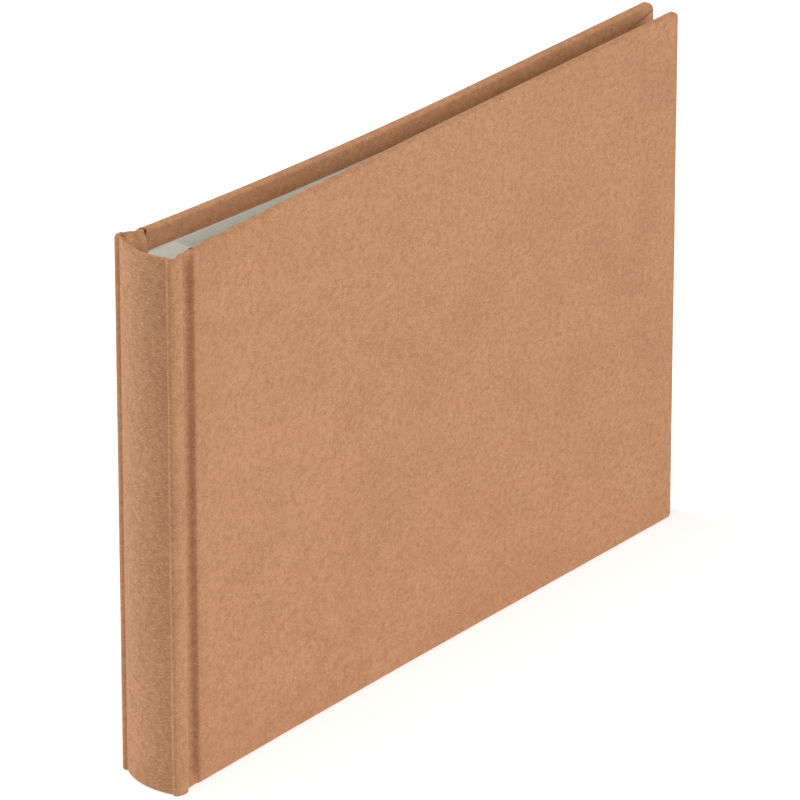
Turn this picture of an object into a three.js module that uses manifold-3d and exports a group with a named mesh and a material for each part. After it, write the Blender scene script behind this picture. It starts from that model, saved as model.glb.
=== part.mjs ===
// A landscape, case-bound scrapbook album: two board covers, a rounded spine and a guarded block of
// card leaves. It stands on its tail edge. Millimetres, +Z up, spine towards -X, front cover towards -Y.
import * as THREE from 'three';
import { mergeVertices } from 'three/addons/utils/BufferGeometryUtils.js';
import Module from 'manifold-3d';

const wasm = await Module();
wasm.setup();

// ---- Driving dimensions -------------------------------------------------------------------------

// The case
const COVER_LENGTH = 240; // from the spine line, x = 0, to the fore-edge of the front cover
const COVER_HEIGHT = 170; // tail to head
const FLARE_LENGTH = 149; // the covers' bow starts this far from the joint side of the boards
const FRONT_FLARE_SHARE = 0.17; // part of the whole bow that the front cover takes
const CASE_SKEW = 2; // the back cover sits this much nearer the fore-edge than the front one

// Thicknesses
const KRAFT = 0.25; // covering paper
const BOARD = 2.4; // greyboard in the covers
const GLUE = 0.06; // film between two bonded sheets
const PASTEDOWN = 0.2;
const HINGE_CLOTH = 0.18;
const LEAF = 0.28;
const STRIP = 0.6; // flexible card in the spine
const LINING = 0.3;
const SPINE_GLUE = 0.45;

// Widths and margins
const JOINT_WIDTH = 10.5; // from the spine line to the joint side of the boards
const TURN_IN = 15; // covering folded over each board edge
const HINGE_CLOTH_WIDTH = 17;
const HEAD_SQUARE = 6.5; // cover standing out past the leaves
const TAIL_SQUARE = 3.5;
const FORE_SQUARE = 4.5;
const GUARD_WIDTH = 20; // bound margin of a leaf, with its folded spacer
const SCORE_GAP = 0.3; // clear strip on each side of a leaf's score line

// The joints and the spine
const GROOVE_DEPTH = 1.6; // below the outside of the board
const GROOVE_RAMP = 4; // the covering climbs from the groove to the board over this length
const RIDGE_END = 4.4; // side of the ridge that faces the groove
const FRONT_RIDGE_WIDTH = 4.9;
const BACK_RIDGE_WIDTH = 3.4;
const FRONT_RIDGE_PROUD = 1.3; // above the outside of the board
const BACK_RIDGE_PROUD = 0.7;
const CREASE_DEPTH = 1.3; // where the ridge meets the back of the spine
const SPINE_ROUND = 2.5; // rise of the spine's arc above its chord
const SPINE_RISE = 1; // the spine's head end stands this much above the boards
const BLOCK_BACK = 1.7; // spine edge of the leaves' margins

// Clearances
const LEAF_AIR = 0.082; // between two leaves where the covers run parallel
const GUARD_AIR = 0.14; // between two guards at their fore side
const LAYER_GAP = 0.1; // free air between the pastedown and the first sheet
const HINGE_GAP = 0.3; // between covering that stays and covering that swings
const CLOTH_MARGIN = 3; // hinge cloth to the turn-ins
const END_GAP = 0.3; // flyleaf to its fold

// Counts and fineness
const LEAVES = 18;
const FLARE_STEPS = 16;
const SPINE_STEPS = 72;
const ARC_POINTS = 5;

// ---- Values worked out from them ----------------------------------------------------------------

const TURN_IN_DEPTH = KRAFT + GLUE + BOARD + GLUE; // depth of the turned-in covering's outer side
const LINER_DEPTH = TURN_IN_DEPTH + KRAFT + GLUE; // depth of the pastedown's glued side
const WALL = LINER_DEPTH + PASTEDOWN + LAYER_GAP;
const SHEETS = LEAVES + 2; // leaves and the two flyleaves
const GUARD = 2 * LEAF + GLUE;
const LEAF_HEIGHT = COVER_HEIGHT - HEAD_SQUARE - TAIL_SQUARE;
const LEAF_END = COVER_LENGTH - FORE_SQUARE;
const SCORE = BLOCK_BACK + GUARD_WIDTH + SCORE_GAP;
const FORE_THICKNESS = 2 * WALL + SHEETS * (LEAF + LEAF_AIR); // where the covers run parallel

// The covers bow outwards towards the joint because the guards are thicker than the leaves.
const FLARE = (SHEETS * (GUARD + GUARD_AIR - LEAF - LEAF_AIR)) / bow(SCORE);
const FRONT = {
  name: 'front',
  side: -1,
  flare: FLARE * FRONT_FLARE_SHARE,
  shift: 0,
  ridge: FRONT_RIDGE_WIDTH,
  proud: FRONT_RIDGE_PROUD,
};
const BACK = {
  name: 'back',
  side: 1,
  flare: FLARE * (1 - FRONT_FLARE_SHARE),
  shift: CASE_SKEW,
  ridge: BACK_RIDGE_WIDTH,
  proud: BACK_RIDGE_PROUD,
};

// ---- Materials ----------------------------------------------------------------------------------

function paint(color, roughness) {
  return new THREE.MeshStandardMaterial({ color, roughness, metalness: 0 });
}

const kraftPaper = paint(0xbe8b63, 0.85);
const greyboard = paint(0x8f8a80, 0.9);
const spineCard = paint(0xb9b2a2, 0.85);
const endpaper = paint(0xe9e7dc, 0.8);
const leafCard = paint(0xdedfd6, 0.8);
const cloth = paint(0xe4dfd0, 0.95);
const glueFilm = paint(0xe6dcc0, 0.4);

// ---- Shapes -------------------------------------------------------------------------------------

// Share of the full bow left at x: 1 at the joint, 0 where the cover has become flat.
function bow(x) {
  const start = Math.max(x, JOINT_WIDTH);
  const left = Math.max(0, JOINT_WIDTH + FLARE_LENGTH - start) / FLARE_LENGTH;
  return left * left;
}

// The y of a surface that lies a given depth inside a cover's outer face.
function coverY(cover, x, depth) {
  return cover.side * (FORE_THICKNESS / 2 + cover.flare * bow(x - cover.shift) - depth);
}

// Places along x at which a curved sheet is drawn: its two ends and the shared stations between them.
function stations(start, end, shift) {
  const list = [start];
  for (let i = 0; i <= FLARE_STEPS; i += 1) {
    const x = shift + JOINT_WIDTH + (FLARE_LENGTH * i) / FLARE_STEPS;
    if (x > start && x < end) list.push(x);
  }
  list.push(end);
  return list;
}

// A flat outline in plan, raised between two heights.
function upright(outline, bottom, top) {
  const shape = new THREE.Shape(outline);
  const geometry = new THREE.ExtrudeGeometry(shape, { depth: top - bottom, bevelEnabled: false });
  return geometry.translate(0, 0, bottom);
}

// A sheet whose two faces follow a curve each, over one stretch of x.
function sheet(start, end, shift, nearY, farY, bottom, top) {
  const along = stations(start + shift, end + shift, shift);
  const near = along.map((x) => new THREE.Vector2(x, nearY(x)));
  const far = along.map((x) => new THREE.Vector2(x, farY(x)));
  return upright(near.concat(far.reverse()), bottom, top);
}

// A layer of a cover, between two depths below its outer face.
function coverLayer(cover, start, end, outer, inner, bottom, top) {
  const outerY = (x) => coverY(cover, x, outer);
  const innerY = (x) => coverY(cover, x, inner);
  return sheet(start, end, cover.shift, outerY, innerY, bottom, top);
}

function toSolid(geometry) {
  const plain = geometry.clone();
  plain.deleteAttribute('normal');
  plain.deleteAttribute('uv');
  const merged = mergeVertices(plain, 1e-4);
  return new wasm.Manifold(
    new wasm.Mesh({
      numProp: 3,
      vertProperties: new Float32Array(merged.attributes.position.array),
      triVerts: new Uint32Array(merged.index.array),
    }),
  );
}

function toGeometry(solid) {
  const mesh = solid.getMesh();
  const geometry = new THREE.BufferGeometry();
  geometry.setAttribute('position', new THREE.BufferAttribute(mesh.vertProperties, 3));
  geometry.setIndex(new THREE.BufferAttribute(mesh.triVerts, 1));
  return geometry;
}

// ---- Assembly -----------------------------------------------------------------------------------

const album = new THREE.Group();

function add(name, geometry, material) {
  const mesh = new THREE.Mesh(geometry, material);
  mesh.name = name;
  album.add(mesh);
}

// Depth of the covering's outside below the board's outer face, across the groove.
function grooveDepth(x) {
  const climb = THREE.MathUtils.smoothstep(x, JOINT_WIDTH - GROOVE_RAMP, JOINT_WIDTH);
  return GROOVE_DEPTH * (1 - climb);
}

// The covering of one cover: the groove strip, the outer sheet and the turn-ins, in one piece.
function coverPaper(cover) {
  const start = RIDGE_END + 2 * HINGE_GAP + cover.shift;
  const joint = JOINT_WIDTH + cover.shift;
  const end = COVER_LENGTH + cover.shift;
  const groove = [];
  const steps = 10;
  for (let i = 0; i < steps; i += 1) groove.push(start + ((joint - start) * i) / steps);
  const face = stations(joint, end, cover.shift);

  const point = (x, depth) => new THREE.Vector2(x, coverY(cover, x, depth));
  const outline = [
    ...groove.map((x) => point(x, grooveDepth(x - cover.shift))),
    ...face.map((x) => point(x, 0)),
    ...[...face].reverse().map((x) => point(x, TURN_IN_DEPTH + KRAFT)),
    point(joint, KRAFT),
    ...groove.reverse().map((x) => point(x, grooveDepth(x - cover.shift) + KRAFT)),
  ];
  const wrap = toSolid(upright(outline, 0, COVER_HEIGHT));
  const edge = KRAFT;
  const pocketStart = JOINT_WIDTH - GLUE; // open towards the joint
  const pocket = toSolid(
    coverLayer(cover, pocketStart, COVER_LENGTH - edge, KRAFT, TURN_IN_DEPTH, edge, COVER_HEIGHT - edge),
  );
  const window = toSolid(
    coverLayer(
      cover,
      pocketStart,
      COVER_LENGTH - TURN_IN,
      TURN_IN_DEPTH - KRAFT,
      TURN_IN_DEPTH + 2 * KRAFT,
      TURN_IN,
      COVER_HEIGHT - TURN_IN,
    ),
  );
  return toGeometry(wrap.subtract(pocket).subtract(window));
}

function addCover(cover) {
  const rim = KRAFT + GLUE;
  const boardStart = JOINT_WIDTH + GLUE;
  add(
    `${cover.name}_cover_board`,
    coverLayer(cover, boardStart, COVER_LENGTH - rim, rim, rim + BOARD, rim, COVER_HEIGHT - rim),
    greyboard,
  );
  add(`${cover.name}_cover_paper`, coverPaper(cover), kraftPaper);

  const clothBottom = TURN_IN + CLOTH_MARGIN;
  const clothTop = COVER_HEIGHT - TURN_IN - CLOTH_MARGIN;
  add(
    `${cover.name}_hinge_cloth`,
    coverLayer(
      cover,
      boardStart,
      boardStart + HINGE_CLOTH_WIDTH,
      TURN_IN_DEPTH,
      TURN_IN_DEPTH + HINGE_CLOTH,
      clothBottom,
      clothTop,
    ),
    cloth,
  );
  add(
    `${cover.name}_pastedown`,
    coverLayer(
      cover,
      boardStart,
      LEAF_END,
      LINER_DEPTH,
      LINER_DEPTH + PASTEDOWN,
      TAIL_SQUARE,
      TAIL_SQUARE + LEAF_HEIGHT,
    ),
    endpaper,
  );
}

// Middle of one of the block's sheets: they share out the room between the two pastedowns.
function sheetShare(order) {
  return (order + 0.5) / SHEETS;
}

function sheetY(order, x) {
  return THREE.MathUtils.lerp(coverY(FRONT, x, WALL), coverY(BACK, x, WALL), sheetShare(order));
}

function blockSheet(order, start, end, thickness) {
  const shift = CASE_SKEW * sheetShare(order);
  const front = (x) => sheetY(order, x) - thickness / 2;
  const back = (x) => sheetY(order, x) + thickness / 2;
  return sheet(start, end, shift, front, back, TAIL_SQUARE, TAIL_SQUARE + LEAF_HEIGHT);
}

function addBlock() {
  const flyStart = JOINT_WIDTH + END_GAP;
  add('front_flyleaf', blockSheet(0, flyStart, LEAF_END, LEAF), endpaper);
  for (let i = 1; i <= LEAVES; i += 1) {
    const number = String(i).padStart(2, '0');
    add(`guard_${number}`, blockSheet(i, BLOCK_BACK, BLOCK_BACK + GUARD_WIDTH, GUARD), leafCard);
    add(`leaf_${number}`, blockSheet(i, SCORE + SCORE_GAP, LEAF_END, LEAF), leafCard);
  }
  add('back_flyleaf', blockSheet(SHEETS - 1, flyStart, LEAF_END, LEAF), endpaper);
}

// A slab on the spine side of the block, leaning with the skew of the case.
function backSlab(gapToBlock, thickness) {
  const frontY = sheetY(1, 0) - GUARD / 2;
  const backY = sheetY(LEAVES, 0) + GUARD / 2;
  const nearFront = BLOCK_BACK + CASE_SKEW * sheetShare(1) - gapToBlock;
  const nearBack = BLOCK_BACK + CASE_SKEW * sheetShare(LEAVES) - gapToBlock;
  const outline = [
    new THREE.Vector2(nearFront - thickness, frontY),
    new THREE.Vector2(nearFront, frontY),
    new THREE.Vector2(nearBack, backY),
    new THREE.Vector2(nearBack - thickness, backY),
  ];
  return upright(outline, TAIL_SQUARE, TAIL_SQUARE + LEAF_HEIGHT);
}

// Outside of one ridge in plan, from the groove over the ridge to the crease beside the spine.
function ridgePoints(cover) {
  const profile = [
    [-0.06, -GROOVE_DEPTH],
    [0, -GROOVE_DEPTH / 2],
    [0.05, cover.proud * 0.3],
    [0.22, cover.proud * 0.88],
    [0.5, cover.proud],
    [0.8, cover.proud * 0.72],
    [0.97, 0],
    [1, -CREASE_DEPTH],
  ];
  const faceY = FORE_THICKNESS / 2 + cover.flare;
  return profile.map(([share, rise]) => {
    const x = RIDGE_END + cover.shift - share * cover.ridge;
    return new THREE.Vector2(x, cover.side * (faceY + rise));
  });
}

// Points between the two creases, on a circular arc that bulges away from the fore-edge.
function spineArc(from, to) {
  const chord = to.clone().sub(from);
  const outward = new THREE.Vector2(-chord.y, chord.x).normalize();
  const radius = (chord.lengthSq() / 4 + SPINE_ROUND ** 2) / (2 * SPINE_ROUND);
  const half = Math.asin(chord.length() / 2 / radius);
  const centre = from.clone().add(to).multiplyScalar(0.5).addScaledVector(outward, SPINE_ROUND - radius);
  const points = [];
  for (let i = 1; i <= ARC_POINTS; i += 1) {
    const turn = half * ((2 * i) / (ARC_POINTS + 1) - 1);
    const along = chord.clone().normalize().multiplyScalar(radius * Math.sin(turn));
    points.push(centre.clone().add(along).addScaledVector(outward, radius * Math.cos(turn)));
  }
  return points;
}

// A ribbon between two depths inside the spine's outer curve, over a share of its length.
function spineRibbon(curve, outer, inner, trim, bottom, top) {
  const outerSide = [];
  const innerSide = [];
  for (let i = 0; i <= SPINE_STEPS; i += 1) {
    const share = THREE.MathUtils.lerp(trim, 1 - trim, i / SPINE_STEPS);
    const place = curve.getPointAt(share);
    const tangent = curve.getTangentAt(share);
    const inward = new THREE.Vector2(tangent.y, -tangent.x);
    outerSide.push(place.clone().addScaledVector(inward, outer));
    innerSide.push(place.clone().addScaledVector(inward, inner));
  }
  return upright(outerSide.concat(innerSide.reverse()), bottom, top);
}

function addSpine() {
  const frontRidge = ridgePoints(FRONT);
  const backRidge = ridgePoints(BACK).reverse();
  const arc = spineArc(frontRidge[frontRidge.length - 1], backRidge[0]);
  const curve = new THREE.SplineCurve([...frontRidge, ...arc, ...backRidge]);
  const stripDepth = KRAFT + GLUE;
  const stripTrim = 0.06;
  const top = COVER_HEIGHT + SPINE_RISE;
  add('spine_paper', spineRibbon(curve, 0, KRAFT, 0, 0, top), kraftPaper);
  add(
    'spine_strip',
    spineRibbon(curve, stripDepth, stripDepth + STRIP, stripTrim, KRAFT, top - KRAFT),
    spineCard,
  );
  add('spine_glue', backSlab(2 * GLUE, SPINE_GLUE), glueFilm);
  add('spine_lining', backSlab(3 * GLUE + SPINE_GLUE, LINING), cloth);
}

addSpine();
addCover(FRONT);
addCover(BACK);
addBlock();

// The origin is the middle of the album's box, on the surface that it stands on.
const box = new THREE.Box3().setFromObject(album);
const middle = box.getCenter(new THREE.Vector3());
album.position.set(-middle.x, -middle.y, -box.min.z);

export default album;
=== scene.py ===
"""Finished looks of a case-bound scrapbook album: covering, endpapers, leaves, binding and stage."""

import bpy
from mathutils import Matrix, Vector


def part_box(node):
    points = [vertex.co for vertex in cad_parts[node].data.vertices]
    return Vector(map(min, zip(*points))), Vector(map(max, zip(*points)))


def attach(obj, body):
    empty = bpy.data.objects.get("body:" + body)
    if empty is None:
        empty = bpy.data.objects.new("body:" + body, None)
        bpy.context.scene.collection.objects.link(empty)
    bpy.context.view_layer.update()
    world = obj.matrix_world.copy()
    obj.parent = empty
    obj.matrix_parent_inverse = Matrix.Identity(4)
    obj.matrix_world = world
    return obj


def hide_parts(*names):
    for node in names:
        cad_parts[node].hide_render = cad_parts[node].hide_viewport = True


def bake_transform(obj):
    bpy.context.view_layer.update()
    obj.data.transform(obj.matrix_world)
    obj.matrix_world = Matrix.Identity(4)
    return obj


bl_info = {
    "name": "Scrapbook Album",
    "version": (1, 0, 0),
    "blender": (4, 5, 0),
    "location": "View3D > Sidebar > Album",
    "description": "Builds a kraft paper scrapbook album around its packed frame",
    "category": "Object",
}

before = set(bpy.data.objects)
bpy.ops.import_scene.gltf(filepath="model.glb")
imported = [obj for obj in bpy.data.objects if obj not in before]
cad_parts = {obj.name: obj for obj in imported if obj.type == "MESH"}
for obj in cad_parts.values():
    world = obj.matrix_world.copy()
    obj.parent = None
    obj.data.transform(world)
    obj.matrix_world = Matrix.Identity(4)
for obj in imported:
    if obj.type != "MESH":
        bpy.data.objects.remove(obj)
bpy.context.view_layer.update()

import math

import bmesh
import bpy
from mathutils import Vector, noise

MM = 0.001

# Sizes of the case, as its maker cut them
KRAFT = 0.25 * MM
GLUE = 0.06 * MM
BOARD = 2.4 * MM
PASTEDOWN = 0.2 * MM
LEAF = 0.28 * MM
STRIP = 0.6 * MM
LAYER_GAP = 0.1 * MM
TURN_IN = 15 * MM
FORE_TURN_IN = 12.4 * MM
FLAP_START = 2.1 * MM  # from the head to the flap's end, at the fore-edge
FLAP_SLOPE = 0.28  # how fast the flap's end draws back from the head
FLARE_LENGTH = 149 * MM
RIDGE_SETBACK = 6.1 * MM  # from the side of the ridge to the joint side of the board
FRONT_RIDGE_WIDTH = 4.9 * MM
BACK_RIDGE_WIDTH = 3.4 * MM
BOARD_CORNER = 2.6 * MM  # knocked-down corners of a board
BOARD_ARRIS = 0.55 * MM  # rubbed-down edges of a board
GUARD_WIDTH = 20 * MM
LEAVES = 18

WRAP = 2 * KRAFT + 2 * GLUE + BOARD  # board with covering on both sides
SPINE_WRAP = 2 * KRAFT + 2 * GLUE + STRIP
JOINT_WRAP = 2 * KRAFT + GLUE
WALL = WRAP + GLUE + PASTEDOWN + LAYER_GAP
SHEETS = LEAVES + 2


# ---- Properties ------------------------------------------------------------


class AlbumSizes(bpy.types.PropertyGroup):
    """Sizes of the paper work that the frame leaves open."""

    edge_radius: bpy.props.FloatProperty(
        name="Edge radius",
        description="Rounding of the covering over a board edge",
        default=0.8 * MM,
        unit="LENGTH",
    )
    front_corner: bpy.props.FloatProperty(
        name="Front corners",
        description="Rounding of the front cover's outer corners",
        default=1.3 * MM,
        unit="LENGTH",
    )
    back_corner: bpy.props.FloatProperty(
        name="Back corners",
        description="Rounding of the back cover's outer corners",
        default=2.4 * MM,
        unit="LENGTH",
    )
    groove_depth: bpy.props.FloatProperty(
        name="Groove depth",
        description="Depth of the groove beside the ridge",
        default=2.4 * MM,
        unit="LENGTH",
    )
    front_ridge: bpy.props.FloatProperty(
        name="Front ridge",
        description="How far the front ridge stands proud",
        default=1.3 * MM,
        unit="LENGTH",
    )
    back_ridge: bpy.props.FloatProperty(
        name="Back ridge",
        description="How far the back ridge stands proud",
        default=0.7 * MM,
        unit="LENGTH",
    )
    crease_depth: bpy.props.FloatProperty(
        name="Crease depth",
        description="Depth of the crease between ridge and spine",
        default=1.5 * MM,
        unit="LENGTH",
    )
    end_ease: bpy.props.FloatProperty(
        name="Joint ends",
        description="Share of the groove that is filled at head and tail",
        default=0.8,
        min=0,
        max=1,
    )
    spine_round: bpy.props.FloatProperty(
        name="Spine round",
        description="Rise of the spine's arc above its chord",
        default=2.5 * MM,
        unit="LENGTH",
    )
    hand_wobble: bpy.props.FloatProperty(
        name="Unevenness",
        description="Small waves left by hand finishing",
        default=0.07 * MM,
        unit="LENGTH",
    )


class AlbumColours(bpy.types.PropertyGroup):
    """Colours of the papers and the stage."""

    kraft: bpy.props.FloatVectorProperty(
        name="Kraft",
        description="Body colour of the covering",
        subtype="COLOR",
        size=3,
        default=(0.515, 0.262, 0.134),
    )
    kraft_dark: bpy.props.FloatVectorProperty(
        name="Kraft fibres",
        description="Darker fibres and clouds",
        subtype="COLOR",
        size=3,
        default=(0.35, 0.16, 0.075),
    )
    kraft_light: bpy.props.FloatVectorProperty(
        name="Kraft lint",
        description="Paler fibres",
        subtype="COLOR",
        size=3,
        default=(0.68, 0.39, 0.23),
    )
    card: bpy.props.FloatVectorProperty(
        name="Leaf card",
        description="Colour of the leaves",
        subtype="COLOR",
        size=3,
        default=(0.72, 0.74, 0.66),
    )
    endpaper: bpy.props.FloatVectorProperty(
        name="Endpaper",
        description="Colour of the endpapers",
        subtype="COLOR",
        size=3,
        default=(0.76, 0.76, 0.70),
    )
    floor: bpy.props.FloatVectorProperty(
        name="Floor",
        description="Colour of the stage",
        subtype="COLOR",
        size=3,
        default=(0.86, 0.86, 0.86),
    )


# ---- The case's shape, read from the frame ---------------------------------


class Cover:
    """One side of the case: where its outer face runs and where its joint lies."""

    def __init__(self, name, sign, ridge_width):
        paper_low, paper_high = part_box(f"{name}_cover_paper")
        board_low, board_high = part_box(f"{name}_cover_board")
        self.name = name
        self.sign = sign
        self.ridge_width = ridge_width
        self.fore_x = paper_high.x
        self.joint_x = board_low.x - GLUE
        self.flare = board_high.y - board_low.y - BOARD
        inner_y = board_high.y if sign < 0 else board_low.y
        self.flat_y = inner_y + sign * (BOARD + GLUE + KRAFT)
        self.height = paper_high.z - paper_low.z
        self.ridge_x = self.joint_x - RIDGE_SETBACK

    def bow(self, x):
        left = self.joint_x + FLARE_LENGTH - max(x, self.joint_x)
        return (max(left, 0.0) / FLARE_LENGTH) ** 2

    def face_y(self, x, depth=0.0):
        return self.flat_y + self.sign * (self.flare * self.bow(x) - depth)


FRONT = Cover("front", -1, FRONT_RIDGE_WIDTH)
BACK = Cover("back", 1, BACK_RIDGE_WIDTH)
SPINE_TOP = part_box("spine_paper")[1].z
BLOCK_LOW, BLOCK_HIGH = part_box("leaf_01")[0].z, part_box("leaf_01")[1].z
SKEW = BACK.joint_x - FRONT.joint_x


def curve_through(points, steps):
    """A smooth line through plan points, as a list with the given steps between neighbours."""
    ends = [points[0]] + list(points) + [points[-1]]
    line = []
    for i in range(1, len(ends) - 2):
        p0, p1, p2, p3 = (Vector(p) for p in ends[i - 1 : i + 3])
        for k in range(steps):
            t = k / steps
            a = (p2 - p0) * 0.5
            b = p0 - p1 * 2.5 + p2 * 2 - p3 * 0.5
            c = (p1 - p2) * 1.5 + (p3 - p0) * 0.5
            line.append(p1 + a * t + b * t * t + c * t * t * t)
    line.append(Vector(points[-1]))
    return line


def normals_of(line, turn):
    """Unit normals along a plan line; turn is 1 for the left of its direction and -1 for the right."""
    out = []
    for i in range(len(line)):
        tangent = line[min(i + 1, len(line) - 1)] - line[max(i - 1, 0)]
        out.append(Vector((-tangent.y, tangent.x)).normalized() * turn)
    return out


def ridge_points(cover, sizes):
    """The ridge in plan, from the crease beside the spine to the floor of the groove."""
    proud = sizes.front_ridge if cover.sign < 0 else sizes.back_ridge
    profile = (
        (1.0, -sizes.crease_depth),
        (1.07, -0.55 * sizes.crease_depth),
        (1.06, 0.0),
        (0.95, 0.42 * proud),
        (0.75, 0.82 * proud),
        (0.48, proud),
        (0.24, 0.94 * proud),
        (0.08, 0.62 * proud),
        (0.0, 0.0),
        (-0.01, -0.5 * sizes.groove_depth),
    )
    edge = cover.face_y(cover.joint_x)
    return [(cover.ridge_x - share * cover.ridge_width, edge + cover.sign * rise) for share, rise in profile]


def groove_points(cover, sizes):
    """The groove in plan: steep beside the ridge, then climbing gently to the board."""
    profile = (
        (0.07, 0.9),
        (0.2, 1.0),
        (0.5, 1.0),
        (0.7, 0.94),
        (0.82, 0.72),
        (0.9, 0.4),
        (0.98, 0.12),
        (1.1, 0.0),
    )
    points = []
    for share, depth in profile:
        x = cover.ridge_x + share * RIDGE_SETBACK
        points.append((x, cover.face_y(x, depth * sizes.groove_depth)))
    return points


def spine_arc(sizes):
    """The rounded back in plan, from the front crease to the back crease."""
    start = Vector(ridge_points(FRONT, sizes)[0])
    end = Vector(ridge_points(BACK, sizes)[0])
    chord = end - start
    outward = Vector((-chord.y, chord.x)).normalized()
    rise = sizes.spine_round
    radius = (chord.length_squared / 4 + rise**2) / (2 * rise)
    half = math.asin(chord.length / 2 / radius)
    centre = (start + end) / 2 + outward * (rise - radius)
    points = []
    steps = 6
    for i in range(steps + 1):
        turn = half * (2 * i / steps - 1)
        across = chord.normalized() * radius * math.sin(turn)
        points.append(centre + across + outward * radius * math.cos(turn))
    return points


def wobble(x, z, seed, amount):
    """A small smooth unevenness that is the same in every run."""
    return amount * noise.noise(Vector((x * 60, z * 28, seed)))


# ---- Modelling helpers -----------------------------------------------------


def activate(obj):
    bpy.ops.object.select_all(action="DESELECT")
    obj.select_set(True)
    bpy.context.view_layer.objects.active = obj


def apply_modifier(obj, kind, **settings):
    activate(obj)
    modifier = obj.modifiers.new(kind.title(), kind)
    for key, value in settings.items():
        setattr(modifier, key, value)
    bpy.ops.object.modifier_apply(modifier=modifier.name)


def smooth(obj, angle=50):
    activate(obj)
    bpy.ops.object.shade_smooth_by_angle(angle=math.radians(angle))


def pick(obj, kind, test):
    """In edit mode, selects the edges or faces that pass a test, and nothing else."""
    bpy.ops.mesh.select_mode(type=kind)
    bpy.ops.mesh.select_all(action="DESELECT")
    work = bmesh.from_edit_mesh(obj.data)
    for part in work.edges if kind == "EDGE" else work.faces:
        if test(part):
            part.select_set(True)
    bmesh.update_edit_mesh(obj.data)


def cut(place, normal, **settings):
    """In edit mode, cuts everything along a plane."""
    bpy.ops.mesh.select_all(action="SELECT")
    bpy.ops.mesh.bisect(plane_co=place, plane_no=normal, threshold=1e-7, **settings)


def near(value, target):
    return abs(value - target) < 1e-6


def spread(start, end, count):
    return [start + (end - start) * i / count for i in range(count + 1)]


def finish_piece(obj, material, slot, *nodes):
    obj.data.materials.clear()
    obj.data.materials.append(material)
    if nodes:
        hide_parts(*nodes)


def form(obj, place_of):
    """Gives a piece made flat its real shape, point by point."""
    for vertex in obj.data.vertices:
        vertex.co = place_of(vertex.co.copy())


def flat_wrap(name, length, thickness, height, stations, radius, corner=None):
    """Covering made flat: x runs from the spine, y is the depth below its outside, z is up.

    A block as thick as what it covers gets its rounded corners and edges. Then its joint side and the middle
    of its inner side are taken away, so that the outer sheet, the folds and the turn-ins are left.
    """
    bpy.ops.object.select_all(action="DESELECT")
    middle = (length / 2, thickness / 2, height / 2)
    bpy.ops.mesh.primitive_cube_add(size=1, location=middle, scale=(length, thickness, height))
    obj = bpy.context.object
    obj.name = obj.data.name = name
    bpy.ops.object.transform_apply(location=True, rotation=False, scale=True)
    bpy.ops.object.mode_set(mode="EDIT")

    def end_x(vertex):
        return near(vertex.co.x, 0) or (not corner and near(vertex.co.x, length))

    def is_corner(edge):
        a, b = edge.verts
        return near(a.co.x, length) and near(b.co.x, length) and not near(a.co.y, b.co.y)

    def is_rim(edge):
        a, b = edge.verts
        if not near(a.co.y, b.co.y) or (end_x(a) and end_x(b) and near(a.co.x, b.co.x)):
            return False
        return edge.calc_face_angle(0) > 1

    if corner:
        pick(obj, "EDGE", is_corner)
        bpy.ops.mesh.bevel(offset=corner, segments=7)
    pick(obj, "EDGE", is_rim)
    bpy.ops.mesh.bevel(offset=min(radius, thickness * 0.49), segments=4)
    for x in stations:
        cut((x, 0, 0), (1, 0, 0))
    ends = (1.3 * MM, 2.4 * MM, 3.6 * MM, 5 * MM, 8 * MM, 11 * MM, TURN_IN)
    levels = list(ends) + [height - z for z in ends] + spread(TURN_IN, height - TURN_IN, 25)[1:-1]
    for z in levels:
        cut((0, 0, z), (0, 0, 1))

    def is_open(face):
        place = face.calc_center_median()
        if all(end_x(vertex) for vertex in face.verts) and abs(face.normal.x) > 0.9:
            return True
        inside = place.x < length - TURN_IN or not corner
        return inside and near(place.y, thickness) and TURN_IN < place.z < height - TURN_IN

    pick(obj, "FACE", is_open)
    bpy.ops.mesh.delete(type="FACE")
    bpy.ops.object.mode_set(mode="OBJECT")
    return obj


def turn_round(obj):
    """Turns all faces round, after a shape was laid out mirrored."""
    activate(obj)
    bpy.ops.object.mode_set(mode="EDIT")
    bpy.ops.mesh.select_all(action="SELECT")
    bpy.ops.mesh.flip_normals()
    bpy.ops.object.mode_set(mode="OBJECT")


# ---- Materials -------------------------------------------------------------


class Nodes:
    """Short calls for building a node tree."""

    def __init__(self, tree):
        self.tree = tree
        self.links = tree.links

    def add(self, kind, **settings):
        node = self.tree.nodes.new(kind)
        for key, value in settings.items():
            setattr(node, key, value)
        return node

    def set(self, node, **values):
        for key, value in values.items():
            socket = node.inputs[key.replace("_", " ")]
            if isinstance(value, bpy.types.NodeSocket):
                self.links.new(value, socket)
            else:
                socket.default_value = value
        return node

    def math(self, operation, a, b=0.0):
        node = self.add("ShaderNodeMath", operation=operation)
        for socket, value in zip(node.inputs, (a, b)):
            if isinstance(value, bpy.types.NodeSocket):
                self.links.new(value, socket)
            else:
                socket.default_value = value
        return node.outputs[0]

    def mix(self, factor, a, b):
        node = self.add("ShaderNodeMix", data_type="RGBA")
        pairs = ((node.inputs[0], factor), (node.inputs[6], a), (node.inputs[7], b))
        for socket, value in pairs:
            if isinstance(value, bpy.types.NodeSocket):
                self.links.new(value, socket)
            else:
                socket.default_value = value
        return node.outputs[2]

    def ramp(self, value, low, high):
        node = self.add("ShaderNodeMapRange", clamp=True)
        self.links.new(value, node.inputs["Value"])
        node.inputs["From Min"].default_value = low
        node.inputs["From Max"].default_value = high
        return node.outputs["Result"]


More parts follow.
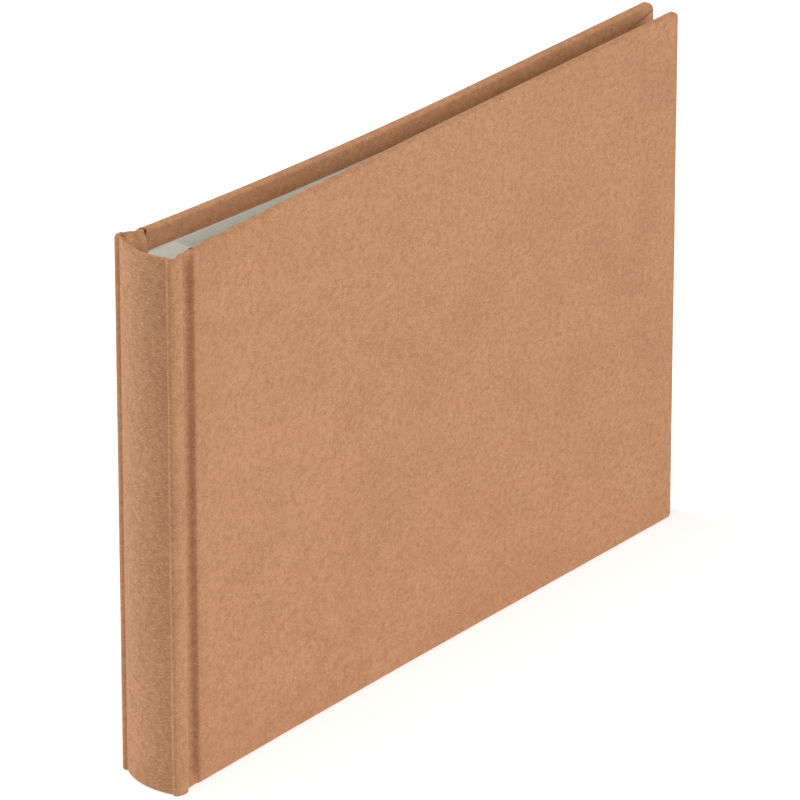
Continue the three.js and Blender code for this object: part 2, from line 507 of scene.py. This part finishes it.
def new_group(name, inputs, outputs):
    tree = bpy.data.node_groups.new(name, "ShaderNodeTree")
    for label, kind, default in inputs:
        socket = tree.interface.new_socket(label, in_out="INPUT", socket_type=kind)
        if default is not None:
            socket.default_value = default
    for label, kind in outputs:
        tree.interface.new_socket(label, in_out="OUTPUT", socket_type=kind)
    return tree, Nodes(tree), tree.nodes.new("NodeGroupInput"), tree.nodes.new("NodeGroupOutput")


def streaks(n, vector, turn, scale, stretch, low, high, seed):
    """Fine fibres that run one way: noise drawn out along one direction, then cut to thin lines."""
    mapping = n.add("ShaderNodeMapping")
    n.links.new(vector, mapping.inputs["Vector"])
    mapping.inputs["Rotation"].default_value = turn
    mapping.inputs["Scale"].default_value = (scale, scale * stretch, scale)
    mapping.inputs["Location"].default_value = (seed, seed * 1.7, -seed)
    texture = n.add("ShaderNodeTexNoise")
    n.set(texture, Vector=mapping.outputs[0], Scale=1.0, Detail=2.0, Roughness=0.5)
    return n.ramp(texture.outputs["Fac"], low, high)


def fibre_group():
    """Paper made of visible fibres: clouds, dark and pale streaks, and a felted surface."""
    name = "Paper fibres"
    if name in bpy.data.node_groups:
        return bpy.data.node_groups[name]
    tree, n, given, result = new_group(
        name,
        (
            ("Body", "NodeSocketColor", (0.5, 0.25, 0.13, 1)),
            ("Dark", "NodeSocketColor", (0.4, 0.19, 0.09, 1)),
            ("Light", "NodeSocketColor", (0.6, 0.33, 0.18, 1)),
            ("Fibre", "NodeSocketFloat", 1.0),
            ("Cloud", "NodeSocketFloat", 1.0),
            ("Roughness", "NodeSocketFloat", 0.85),
        ),
        (("Color", "NodeSocketColor"), ("Roughness", "NodeSocketFloat"), ("Height", "NodeSocketFloat")),
    )
    place = n.add("ShaderNodeTexCoord").outputs["Object"]
    cloud = n.set(n.add("ShaderNodeTexNoise"), Vector=place, Scale=55.0, Detail=5.0, Roughness=0.62)
    mottle = n.set(n.add("ShaderNodeTexNoise"), Vector=place, Scale=520.0, Detail=4.0, Roughness=0.6)
    felt = n.set(n.add("ShaderNodeTexNoise"), Vector=place, Scale=2400.0, Detail=3.0, Roughness=0.6)
    dark_a = streaks(n, place, (0.3, 0.5, 0.2), 2600.0, 0.34, 0.58, 0.72, 3.1)
    dark_b = streaks(n, place, (1.4, -0.4, 1.1), 2400.0, 0.34, 0.59, 0.72, 9.4)
    pale_a = streaks(n, place, (-0.7, 0.9, 0.6), 2600.0, 0.34, 0.59, 0.72, 5.7)
    pale_b = streaks(n, place, (0.9, 1.5, -0.8), 2300.0, 0.34, 0.59, 0.73, 7.9)

    cloudiness = n.math("MULTIPLY", n.ramp(cloud.outputs["Fac"], 0.38, 0.66), given.outputs["Cloud"])
    colour = n.mix(n.math("MULTIPLY", cloudiness, 0.3), given.outputs["Body"], given.outputs["Dark"])
    speckle = n.math("MULTIPLY", n.ramp(mottle.outputs["Fac"], 0.42, 0.66), given.outputs["Fibre"])
    colour = n.mix(n.math("MULTIPLY", speckle, 0.6), colour, given.outputs["Dark"])
    pale = n.math("MULTIPLY", n.math("MAXIMUM", pale_a, pale_b), given.outputs["Fibre"])
    colour = n.mix(n.math("MULTIPLY", pale, 0.7), colour, given.outputs["Light"])
    dark = n.math("MULTIPLY", n.math("MAXIMUM", dark_a, dark_b), given.outputs["Fibre"])
    colour = n.mix(n.math("MULTIPLY", dark, 0.8), colour, given.outputs["Dark"])
    tree.links.new(colour, result.inputs["Color"])

    rough = n.math("MULTIPLY", n.math("SUBTRACT", mottle.outputs["Fac"], 0.5), 0.16)
    tree.links.new(n.math("ADD", given.outputs["Roughness"], rough), result.inputs["Roughness"])
    fine = n.math("MULTIPLY", felt.outputs["Fac"], 0.5)
    height = n.math("ADD", fine, n.math("MULTIPLY", mottle.outputs["Fac"], 0.5))
    height = n.math("ADD", height, n.math("MULTIPLY", pale, 0.35))
    tree.links.new(height, result.inputs["Height"])
    return tree


def weave_group():
    """Open plain weave: threads over and under in two directions."""
    name = "Open weave"
    if name in bpy.data.node_groups:
        return bpy.data.node_groups[name]
    tree, n, given, result = new_group(
        name,
        (
            ("Thread", "NodeSocketColor", (0.75, 0.72, 0.62, 1)),
            ("Gap", "NodeSocketColor", (0.35, 0.33, 0.28, 1)),
            ("Threads per metre", "NodeSocketFloat", 900.0),
        ),
        (("Color", "NodeSocketColor"), ("Height", "NodeSocketFloat")),
    )
    place = n.add("ShaderNodeTexCoord").outputs["Object"]
    axes = n.add("ShaderNodeSeparateXYZ")
    n.links.new(place, axes.inputs[0])
    across = n.math("ADD", axes.outputs["X"], axes.outputs["Y"])
    step = n.math("MULTIPLY", given.outputs["Threads per metre"], 2 * math.pi)
    warp = n.math("ABSOLUTE", n.math("SINE", n.math("MULTIPLY", across, step)))
    weft = n.math("ABSOLUTE", n.math("SINE", n.math("MULTIPLY", axes.outputs["Z"], step)))
    thread = n.math("MAXIMUM", warp, weft)
    colour = n.mix(n.ramp(thread, 0.2, 0.6), given.outputs["Gap"], given.outputs["Thread"])
    tree.links.new(colour, result.inputs["Color"])
    tree.links.new(thread, result.inputs["Height"])
    return tree


def paper_material(name, body, dark, light, fibre, cloud, roughness, bump, sheen=0.0):
    """A fibrous paper or board."""
    material = bpy.data.materials.new(name)
    material.use_nodes = True
    material.diffuse_color = (*body, 1)
    n = Nodes(material.node_tree)
    shader = material.node_tree.nodes["Principled BSDF"]
    group = n.add("ShaderNodeGroup")
    group.node_tree = fibre_group()
    n.set(
        group,
        Body=(*body, 1),
        Dark=(*dark, 1),
        Light=(*light, 1),
        Fibre=fibre,
        Cloud=cloud,
        Roughness=roughness,
    )
    bump_node = n.add("ShaderNodeBump")
    n.set(bump_node, Strength=bump, Distance=0.12 * MM, Height=group.outputs["Height"])
    n.links.new(group.outputs["Color"], shader.inputs["Base Color"])
    n.links.new(group.outputs["Roughness"], shader.inputs["Roughness"])
    n.links.new(bump_node.outputs[0], shader.inputs["Normal"])
    shader.inputs["Specular IOR Level"].default_value = 0.25
    shader.inputs["Sheen Weight"].default_value = sheen
    shader.inputs["Sheen Roughness"].default_value = 0.5
    return material


def cloth_material(name, thread, gap, density):
    """Open lining cloth."""
    material = bpy.data.materials.new(name)
    material.use_nodes = True
    n = Nodes(material.node_tree)
    shader = material.node_tree.nodes["Principled BSDF"]
    group = n.add("ShaderNodeGroup")
    group.node_tree = weave_group()
    n.set(group, Thread=(*thread, 1), Gap=(*gap, 1), Threads_per_metre=density)
    bump_node = n.add("ShaderNodeBump")
    n.set(bump_node, Strength=0.5, Distance=0.1 * MM, Height=group.outputs["Height"])
    n.links.new(group.outputs["Color"], shader.inputs["Base Color"])
    n.links.new(bump_node.outputs[0], shader.inputs["Normal"])
    shader.inputs["Roughness"].default_value = 0.95
    return material


def glue_material(name):
    """Dried bookbinder's glue: pale, slightly clouded and a little shiny."""
    material = bpy.data.materials.new(name)
    material.use_nodes = True
    n = Nodes(material.node_tree)
    shader = material.node_tree.nodes["Principled BSDF"]
    place = n.add("ShaderNodeTexCoord").outputs["Object"]
    cloud = n.set(n.add("ShaderNodeTexNoise"), Vector=place, Scale=260.0, Detail=4.0)
    colour = n.mix(cloud.outputs["Fac"], (0.78, 0.72, 0.52, 1), (0.86, 0.82, 0.66, 1))
    n.links.new(colour, shader.inputs["Base Color"])
    n.links.new(n.ramp(cloud.outputs["Fac"], 0.1, 1.4), shader.inputs["Roughness"])
    return material


def material(name):
    """One of the album's finishes, made on first use."""
    if name in bpy.data.materials:
        return bpy.data.materials[name]
    colours = bpy.context.scene.album_colours
    kraft, dark, light = tuple(colours.kraft), tuple(colours.kraft_dark), tuple(colours.kraft_light)
    card, end = tuple(colours.card), tuple(colours.endpaper)
    if name == "Kraft covering":
        return paper_material(name, kraft, dark, light, 1.0, 1.0, 0.82, 0.35)
    if name == "Leaf card":
        return paper_material(name, card, scaled(card, 0.9), scaled(card, 1.06), 0.4, 0.4, 0.8, 0.15)
    if name == "Endpaper":
        return paper_material(name, end, scaled(end, 0.9), scaled(end, 1.06), 0.5, 0.4, 0.75, 0.2)
    if name == "Greyboard":
        body, dark, light = (0.28, 0.26, 0.22), (0.16, 0.15, 0.13), (0.42, 0.4, 0.36)
        return paper_material(name, body, dark, light, 1.0, 1.0, 0.9, 0.6)
    if name == "Spine card":
        body, dark, light = (0.48, 0.44, 0.35), (0.38, 0.34, 0.26), (0.6, 0.56, 0.46)
        return paper_material(name, body, dark, light, 0.7, 0.8, 0.85, 0.4)
    if name == "Lining cloth":
        return cloth_material(name, (0.78, 0.75, 0.66), (0.4, 0.37, 0.3), 700.0)
    if name == "Binding glue":
        return glue_material(name)
    raise RuntimeError(f"no finish is named {name}")


def scaled(colour, factor):
    return tuple(min(1.0, part * factor) for part in colour)


# ---- Coverings -------------------------------------------------------------


def smoothstep(value, low, high):
    share = min(max((value - low) / (high - low), 0.0), 1.0)
    return share * share * (3 - 2 * share)


class CaseLine:
    """Where one cover's covering runs: round the ridge, through the groove and along the board."""

    def __init__(self, cover, sizes):
        self.cover = cover
        self.sizes = sizes
        keys = ridge_points(cover, sizes) + groove_points(cover, sizes)
        self.line = curve_through(keys, 5)
        self.inward = normals_of(self.line, -cover.sign)
        self.along = [0.0]
        for a, b in zip(self.line, self.line[1:]):
            self.along.append(self.along[-1] + (b - a).length)
        self.length = self.along[-1] + cover.fore_x - self.line[-1].x

    def stations(self):
        board = spread(self.along[-1], self.length - 3 * MM, 44)
        turn_in = self.length - TURN_IN
        return self.along[1:] + board[1:] + [turn_in]

    def thickness(self, x):
        """Depth of the turned-in covering below the outside: it bridges from the joint up to the board."""
        cover = self.cover
        past_ridge = smoothstep(x, cover.ridge_x - 0.2 * MM, cover.ridge_x + 1.2 * MM)
        onto_board = smoothstep(x, cover.joint_x - 4.6 * MM, cover.joint_x - 0.1 * MM)
        thin = SPINE_WRAP + (JOINT_WRAP - SPINE_WRAP) * past_ridge
        return thin + (WRAP - thin) * onto_board

    def top(self, x):
        """The head of the spine stands above the boards, and the covering slopes down across the groove."""
        share = smoothstep(x, self.cover.joint_x - 1.0 * MM, self.cover.ridge_x - 0.2 * MM)
        return self.cover.height + (SPINE_TOP - self.cover.height) * share

    def column(self, s):
        """Plan place and inward normal at a distance along the covering."""
        if s >= self.along[-1]:
            x = self.line[-1].x + s - self.along[-1]
            return Vector((x, self.cover.face_y(x))), Vector((0, -self.cover.sign))
        i = 0
        while self.along[i + 1] < s - 1e-9:
            i += 1
        share = (s - self.along[i]) / (self.along[i + 1] - self.along[i])
        inward = self.inward[i].lerp(self.inward[i + 1], share).normalized()
        return self.line[i].lerp(self.line[i + 1], share), inward

    def board_place(self, flat):
        """The real place of a point that lies inside the cover, beside the board's flat side."""
        x = self.line[-1].x + flat.x - self.along[-1]
        return Vector((x, self.cover.face_y(x, flat.y), flat.z))

    def place(self, flat):
        """The real place of a point of the flat covering."""
        at, normal = self.column(flat.x)
        cover, sizes = self.cover, self.sizes
        on_joint = 1 - smoothstep(at.x, cover.joint_x - 1 * MM, cover.joint_x + 3 * MM)
        top = self.top(at.x)
        z = flat.z * top / cover.height
        depth = flat.y * self.thickness(at.x) / WRAP
        recess = cover.sign * max((cover.face_y(cover.joint_x) - at.y) * cover.sign, 0.0) * on_joint
        to_end = min(z, top - z)
        past_crease = smoothstep(at.x, cover.ridge_x - 0.6 * cover.ridge_width, cover.ridge_x)
        eased = recess * past_crease * sizes.end_ease * math.exp(-((to_end / (2.6 * MM)) ** 2))
        at = at + normal * (depth + wobble(at.x, z, cover.sign * 4.0, sizes.hand_wobble * (0.6 + on_joint)))
        return Vector((at.x, at.y + eased, z))


def make_mitred_flap(cover, line):
    """The fore-edge turn-in, which laps over the head and tail turn-ins along its mitred ends."""
    length, height = line.length, cover.height
    near_edge, far_edge = length - 0.35 * MM, length - FORE_TURN_IN
    bpy.ops.object.select_all(action="DESELECT")
    bpy.ops.mesh.primitive_plane_add(
        size=1,
        location=((near_edge + far_edge) / 2, WRAP, height / 2),
        rotation=(math.radians(-90), 0, 0),
    )
    obj = bpy.context.object
    obj.name = obj.data.name = f"{cover.name}_mitred_flap"
    obj.scale = (near_edge - far_edge, height, 1)
    bpy.ops.object.transform_apply(location=True, rotation=True, scale=True)
    bpy.ops.object.mode_set(mode="EDIT")
    cut((length, WRAP, FLAP_START), (FLAP_SLOPE, 0, 1), clear_inner=True)
    cut((length, WRAP, height - FLAP_START), (FLAP_SLOPE, 0, -1), clear_inner=True)
    for reach in (0.8, 1.5, 2.5, 4.0, 6.0, 8.5, 11.5):
        cut((length - reach * MM, 0, 0), (1, 0, 0))
    for z in spread(FLAP_START + 0.8 * MM, TURN_IN, 11) + spread(TURN_IN, height / 2, 14)[1:]:
        cut((0, 0, z), (0, 0, 1))
        cut((0, 0, height - z), (0, 0, 1))
    bpy.ops.object.mode_set(mode="OBJECT")

    def raised(flat):
        reach = length - flat.x
        to_mitre = min(flat.z, height - flat.z) - FLAP_START - FLAP_SLOPE * reach
        beside_endpaper = smoothstep(reach, 5.5 * MM, 3.2 * MM)
        above = smoothstep(flat.z, BLOCK_HIGH - 0.5 * MM, BLOCK_HIGH + 2 * MM)
        below = smoothstep(flat.z, BLOCK_LOW + 0.5 * MM, BLOCK_LOW - 1 * MM)
        free = max(beside_endpaper, above, below)
        lift = 0.02 * MM + 0.26 * MM * free
        lift += 0.25 * MM * math.exp(-max(to_mitre, 0.0) / (0.9 * MM)) * free
        return line.place(Vector((flat.x, WRAP + lift * smoothstep(reach, 0.2 * MM, 1.8 * MM), flat.z)))

    form(obj, raised)
    return obj


def make_board(cover):
    """The board inside a cover; its corners are knocked down to sit in the covering's rounded ones."""
    sizes = bpy.context.scene.album_sizes
    node = f"{cover.name}_cover_board"
    low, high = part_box(node)
    line = CaseLine(cover, sizes)
    start = line.along[-1] + low.x + 0.5 * MM - line.line[-1].x
    length, height = high.x - low.x - 0.5 * MM, high.z - low.z
    bpy.ops.object.select_all(action="DESELECT")
    middle = (start + length / 2, WRAP / 2, (low.z + high.z) / 2)
    bpy.ops.mesh.primitive_cube_add(size=1, location=middle, scale=(length, BOARD, height))
    obj = bpy.context.object
    obj.name = obj.data.name = f"{cover.name}_board"
    bpy.ops.object.transform_apply(location=True, rotation=False, scale=True)
    bpy.ops.object.mode_set(mode="EDIT")
    pick(obj, "EDGE", lambda edge: abs(edge.verts[0].co.y - edge.verts[1].co.y) > BOARD / 2)
    bpy.ops.mesh.bevel(offset=BOARD_CORNER, segments=5)
    pick(obj, "EDGE", lambda edge: near(edge.verts[0].co.y, edge.verts[1].co.y))
    bpy.ops.mesh.bevel(offset=BOARD_ARRIS, segments=2)
    for x in spread(start, start + length, 40)[1:-1]:
        cut((x, 0, 0), (1, 0, 0))
    bpy.ops.object.mode_set(mode="OBJECT")
    form(obj, line.board_place)
    if cover.sign > 0:
        turn_round(obj)
    smooth(obj)
    finish_piece(obj, material("Greyboard"), "greyboard", node)
    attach(obj, f"{cover.name}_cover")


def make_cover_covering(cover):
    sizes = bpy.context.scene.album_sizes
    name = f"{cover.name}_covering"
    line = CaseLine(cover, sizes)
    corner = sizes.front_corner if cover.sign < 0 else sizes.back_corner
    body = flat_wrap(name, line.length, WRAP, cover.height, line.stations(), sizes.edge_radius, corner)
    form(body, line.place)
    flap = make_mitred_flap(cover, line)
    if cover.sign > 0:
        turn_round(body)
        turn_round(flap)
    apply_modifier(body, "SOLIDIFY", thickness=KRAFT, offset=-1.0, use_rim=True)
    apply_modifier(flap, "SOLIDIFY", thickness=0.2 * MM, offset=-1.0, use_rim=True)
    activate(body)
    flap.select_set(True)
    bpy.ops.object.join()
    smooth(body)
    finish_piece(body, material("Kraft covering"), "kraft_covering", f"{cover.name}_cover_paper")
    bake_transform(body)


def make_spine_covering():
    sizes = bpy.context.scene.album_sizes
    line = curve_through(spine_arc(sizes), 8)
    before = curve_through(ridge_points(FRONT, sizes), 5)[1]
    after = curve_through(ridge_points(BACK, sizes), 5)[1]
    inward = normals_of([before] + line + [after], -1)[1:-1]
    along = [0.0]
    for a, b in zip(line, line[1:]):
        along.append(along[-1] + (b - a).length)
    length = along[-1]

    def place(flat):
        i = 0
        while i < len(along) - 2 and along[i + 1] < flat.x - 1e-9:
            i += 1
        share = (flat.x - along[i]) / (along[i + 1] - along[i])
        at = line[i].lerp(line[i + 1], share)
        normal = inward[i].lerp(inward[i + 1], share).normalized()
        middle = math.sin(math.pi * flat.x / length)
        lift = wobble(at.y, flat.z, 21.0, sizes.hand_wobble * 1.3) * middle
        at = at + normal * (flat.y + lift)
        return Vector((at.x, at.y, flat.z))

    body = flat_wrap("spine_covering", length, SPINE_WRAP, SPINE_TOP, along[1:-1], sizes.edge_radius)
    form(body, place)
    turn_round(body)
    apply_modifier(body, "SOLIDIFY", thickness=KRAFT, offset=-1.0, use_rim=True)
    smooth(body)
    finish_piece(body, material("Kraft covering"), "kraft_covering", "spine_paper")
    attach(body, "binding")


# ---- Endpapers and leaves --------------------------------------------------


def sheet_share(order):
    return (order + 0.5) / SHEETS


def sheet_y(order, x):
    """Middle of one of the block's sheets; they share out the room between the covers."""
    front, back = FRONT.face_y(x, WALL), BACK.face_y(x, WALL)
    return front + (back - front) * sheet_share(order)


def trace(name, points, bottom, top, thickness):
    """A sheet on edge: a corner is drawn along plan points, pulled up, and given its thickness."""
    first = Vector((*points[0], bottom))
    bpy.ops.object.select_all(action="DESELECT")
    bpy.ops.mesh.primitive_plane_add(size=1 * MM, location=first)
    obj = bpy.context.object
    obj.name = obj.data.name = name
    bpy.ops.object.mode_set(mode="EDIT")
    bpy.ops.mesh.select_mode(type="VERT")
    bpy.ops.mesh.select_all(action="SELECT")
    bpy.ops.mesh.merge(type="CENTER")
    for start, end in zip(points, points[1:]):
        step = (end[0] - start[0], end[1] - start[1], 0)
        bpy.ops.mesh.extrude_region_move(TRANSFORM_OT_translate={"value": step})
    bpy.ops.mesh.select_all(action="SELECT")
    bpy.ops.mesh.extrude_region_move(TRANSFORM_OT_translate={"value": (0, 0, top - bottom)})
    bpy.ops.object.mode_set(mode="OBJECT")
    bpy.ops.object.transform_apply(location=True, rotation=True, scale=True)
    apply_modifier(obj, "SOLIDIFY", thickness=thickness, offset=0.0, use_rim=True)
    bpy.ops.object.mode_set(mode="EDIT")
    bpy.ops.mesh.select_all(action="SELECT")
    bpy.ops.mesh.normals_make_consistent(inside=False)
    bpy.ops.object.mode_set(mode="OBJECT")
    smooth(obj, 40)
    return obj


def make_leaf_pattern(length):
    """One leaf, flat: the spacer folded back along the bound margin, the margin, the score and the leaf."""
    layer = (LEAF + GLUE) / 2
    points = [(x, layer) for x in spread(GUARD_WIDTH, 0.6 * MM, 4)]
    points += [(0.3 * MM, layer * 0.7), (0.2 * MM, 0.0), (0.3 * MM, -layer * 0.7)]
    points += [(x, -layer) for x in spread(0.6 * MM, GUARD_WIDTH - 0.3 * MM, 4)]
    points += [(GUARD_WIDTH + d * MM, -layer * s) for d, s in ((0.0, 0.9), (0.4, 0.5), (0.8, 0.15))]
    points += [(x, 0.0) for x in spread(GUARD_WIDTH + 1.2 * MM, GUARD_WIDTH + 4 * MM, 4)]
    points += [(x, 0.0) for x in spread(GUARD_WIDTH + 4 * MM, length, 30)[1:]]
    return trace("leaf_pattern", points, BLOCK_LOW, BLOCK_HIGH, LEAF)


def place_sheet(pattern, name, order, start):
    """A copy of a flat sheet, with its own mesh, laid along its place in the block."""
    obj = pattern.copy()
    obj.data = pattern.data.copy()
    obj.name = obj.data.name = name
    bpy.context.scene.collection.objects.link(obj)
    shift = start + SKEW * sheet_share(order)
    for vertex in obj.data.vertices:
        vertex.co.x += shift
        vertex.co.y += sheet_y(order, vertex.co.x)
    return obj


def make_leaves():
    guard_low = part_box("guard_01")[0].x - SKEW * sheet_share(1)
    leaf_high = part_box("leaf_01")[1].x - SKEW * sheet_share(1)
    pattern = make_leaf_pattern(leaf_high - guard_low)
    for i in range(1, LEAVES + 1):
        name = f"leaf_{i:02d}"
        leaf = place_sheet(pattern, f"card_{name}", i, guard_low)
        finish_piece(leaf, material("Leaf card"), "leaf_card", name, f"guard_{i:02d}")
        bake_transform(leaf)
    bpy.data.objects.remove(pattern)


def make_flyleaf(cover, order):
    body = f"{cover.name}_flyleaf"
    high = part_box(body)[1]
    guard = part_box("guard_01" if order == 0 else f"guard_{LEAVES:02d}")[0].x
    start = guard + 1.2 * MM
    points = [(x, 0.0) for x in spread(0.0, high.x - start, 40)]
    pattern = trace(f"{cover.name}_flyleaf_pattern", points, BLOCK_LOW, BLOCK_HIGH, LEAF)
    sheet = place_sheet(pattern, f"{cover.name}_free_endpaper", order, start - SKEW * sheet_share(order))
    bpy.data.objects.remove(pattern)
    finish_piece(sheet, material("Endpaper"), "endpaper", body)
    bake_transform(sheet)


def make_pastedown(cover, order):
    """The glued half of an endpaper: along the board, down into the joint and round to the block."""
    sizes = bpy.context.scene.album_sizes
    sign = cover.sign
    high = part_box(f"{cover.name}_pastedown")[1]
    case = CaseLine(cover, sizes)
    lining = GLUE + PASTEDOWN / 2
    ridge, joint = cover.ridge_x, cover.joint_x
    block_y = sheet_y(order, ridge) + sign * (LEAF / 2 + 0.15 * MM)
    joint_part = []
    for s in case.along:
        at, normal = case.column(s)
        if ridge + 1.8 * MM < at.x < joint + 0.3 * MM:
            joint_part.append(tuple(at + normal * (case.thickness(at.x) + lining)))
    floor = joint_part[0][1]
    keys = [
        (ridge + 3.2 * MM, block_y),
        (ridge + 1.7 * MM, block_y + sign * 0.1 * MM),
        (ridge + 0.8 * MM, (block_y + floor) / 2),
        (ridge + 1.15 * MM, floor - sign * 0.12 * MM),
        joint_part[0],
    ]
    line = [tuple(p) for p in curve_through(keys, 4)][:-1] + joint_part
    glued = WRAP + lining
    line += [(x, cover.face_y(x, glued)) for x in spread(joint + 1.0 * MM, high.x, 40)]
    sheet = trace(f"{cover.name}_pasted_endpaper", line, BLOCK_LOW, BLOCK_HIGH, PASTEDOWN)
    finish_piece(sheet, material("Endpaper"), "endpaper", f"{cover.name}_pastedown")
    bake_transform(sheet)


# ---- Stage -----------------------------------------------------------------


def add_light(name, place, target, size, power):
    light = bpy.data.lights.new(name, "AREA")
    light.shape = "RECTANGLE"
    light.size, light.size_y = size
    light.energy = power
    obj = bpy.data.objects.new(name, light)
    bpy.context.scene.collection.objects.link(obj)
    obj.location = place
    obj.rotation_euler = (Vector(target) - Vector(place)).to_track_quat("-Z", "Y").to_euler()
    return obj


def make_stage():
    scene = bpy.context.scene
    colours = scene.album_colours
    bpy.ops.object.select_all(action="DESELECT")
    bpy.ops.mesh.primitive_plane_add(size=12.0, location=(0, 0, -0.02 * MM))
    floor = bpy.context.object
    floor.name = floor.data.name = "stage_floor"
    finish = bpy.data.materials.new("Stage paper")
    finish.use_nodes = True
    shader = finish.node_tree.nodes["Principled BSDF"]
    shader.inputs["Base Color"].default_value = (*colours.floor, 1)
    shader.inputs["Roughness"].default_value = 0.9
    shader.inputs["Emission Color"].default_value = (1, 1, 1, 1)
    shader.inputs["Emission Strength"].default_value = 0.38
    floor.data.materials.append(finish)

    world = bpy.data.worlds.new("Studio")
    scene.world = world
    world.use_nodes = True
    world.node_tree.nodes["Background"].inputs["Color"].default_value = (1, 1, 1, 1)
    world.node_tree.nodes["Background"].inputs["Strength"].default_value = 0.24

    middle = (0, 0, 0.09)
    add_light("left_softbox", (-0.75, 1.9, 0.9), middle, (1.2, 1.6), 32)
    right = add_light("right_softbox", (0.5, -1.35, 0.8), (-0.14, 0, 0.14), (0.9, 1.1), 2.6)
    right.data.spread = math.radians(65)
    add_light("top_softbox", (-0.3, -0.1, 1.9), (-0.12, 0, 0.17), (1.1, 1.1), 14)

    azimuth, pitch = math.radians(51.06), math.radians(24.9)
    distance = 2.3973
    target = Vector((-2.5 * MM, 0.4 * MM, 81.3 * MM))
    ahead = Vector(
        (
            math.sin(azimuth) * math.cos(pitch),
            math.cos(azimuth) * math.cos(pitch),
            -math.sin(pitch),
        )
    )
    data = bpy.data.cameras.new("album_camera")
    data.sensor_width = 36.0
    data.lens = 361.5
    data.clip_end = 30.0
    camera = bpy.data.objects.new("album_camera", data)
    scene.collection.objects.link(camera)
    camera.location = target - ahead * distance
    camera.rotation_euler = ahead.to_track_quat("-Z", "Y").to_euler()
    scene.camera = camera
    scene.view_settings.view_transform = "Standard"


# ---- Operators -------------------------------------------------------------


class ALBUM_OT_stage(bpy.types.Operator):
    """Add the floor, the lights and the camera"""

    bl_idname = "album.stage"
    bl_label = "Stage"

    def execute(self, context):
        make_stage()
        return {"FINISHED"}


class ALBUM_OT_coverings(bpy.types.Operator):
    """Add the kraft covering of both covers and of the spine"""

    bl_idname = "album.coverings"
    bl_label = "Coverings"

    def execute(self, context):
        make_cover_covering(FRONT)
        make_spine_covering()
        make_cover_covering(BACK)
        return {"FINISHED"}


class ALBUM_OT_boards(bpy.types.Operator):
    """Add the greyboards of both covers"""

    bl_idname = "album.boards"
    bl_label = "Boards"

    def execute(self, context):
        for cover in (FRONT, BACK):
            make_board(cover)
        return {"FINISHED"}


class ALBUM_OT_endpapers(bpy.types.Operator):
    """Add both endpapers, each with its glued half and its free half"""

    bl_idname = "album.endpapers"
    bl_label = "Endpapers"

    def execute(self, context):
        for cover, order in ((FRONT, 0), (BACK, SHEETS - 1)):
            make_pastedown(cover, order)
            make_flyleaf(cover, order)
        return {"FINISHED"}


class ALBUM_OT_leaves(bpy.types.Operator):
    """Add the card leaves with their folded margins"""

    bl_idname = "album.leaves"
    bl_label = "Leaves"

    def execute(self, context):
        make_leaves()
        return {"FINISHED"}


class ALBUM_OT_binding(bpy.types.Operator):
    """Give the spine card, the linings and the glue their finishes"""

    bl_idname = "album.binding"
    bl_label = "Binding"

    def execute(self, context):
        finishes = {
            "spine_strip": "Spine card",
            "spine_lining": "Lining cloth",
            "front_hinge_cloth": "Lining cloth",
            "back_hinge_cloth": "Lining cloth",
            "spine_glue": "Binding glue",
        }
        for node, finish in finishes.items():
            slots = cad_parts[node].data.materials
            slots.clear()
            slots.append(material(finish))
        return {"FINISHED"}


class ALBUM_PT_panel(bpy.types.Panel):
    """The album's sizes, colours and building steps"""

    bl_idname = "ALBUM_PT_panel"
    bl_label = "Scrapbook Album"
    bl_space_type = "VIEW_3D"
    bl_region_type = "UI"
    bl_category = "Album"

    def draw(self, context):
        for group in (context.scene.album_sizes, context.scene.album_colours):
            column = self.layout.column()
            for name in group.__annotations__:
                column.prop(group, name)
        for operator in OPERATORS:
            self.layout.operator(operator.bl_idname)


OPERATORS = (
    ALBUM_OT_stage,
    ALBUM_OT_coverings,
    ALBUM_OT_boards,
    ALBUM_OT_endpapers,
    ALBUM_OT_leaves,
    ALBUM_OT_binding,
)
CLASSES = (AlbumSizes, AlbumColours, *OPERATORS, ALBUM_PT_panel)


def register():
    for cls in CLASSES:
        bpy.utils.register_class(cls)
    bpy.types.Scene.album_sizes = bpy.props.PointerProperty(type=AlbumSizes)
    bpy.types.Scene.album_colours = bpy.props.PointerProperty(type=AlbumColours)


def unregister():
    del bpy.types.Scene.album_colours
    del bpy.types.Scene.album_sizes
    for cls in reversed(CLASSES):
        bpy.utils.unregister_class(cls)


def main():
    register()
    bpy.ops.album.stage()
    bpy.ops.album.coverings()
    bpy.ops.album.boards()
    bpy.ops.album.endpapers()
    bpy.ops.album.leaves()
    bpy.ops.album.binding()


if __name__ == "__main__":
    main()
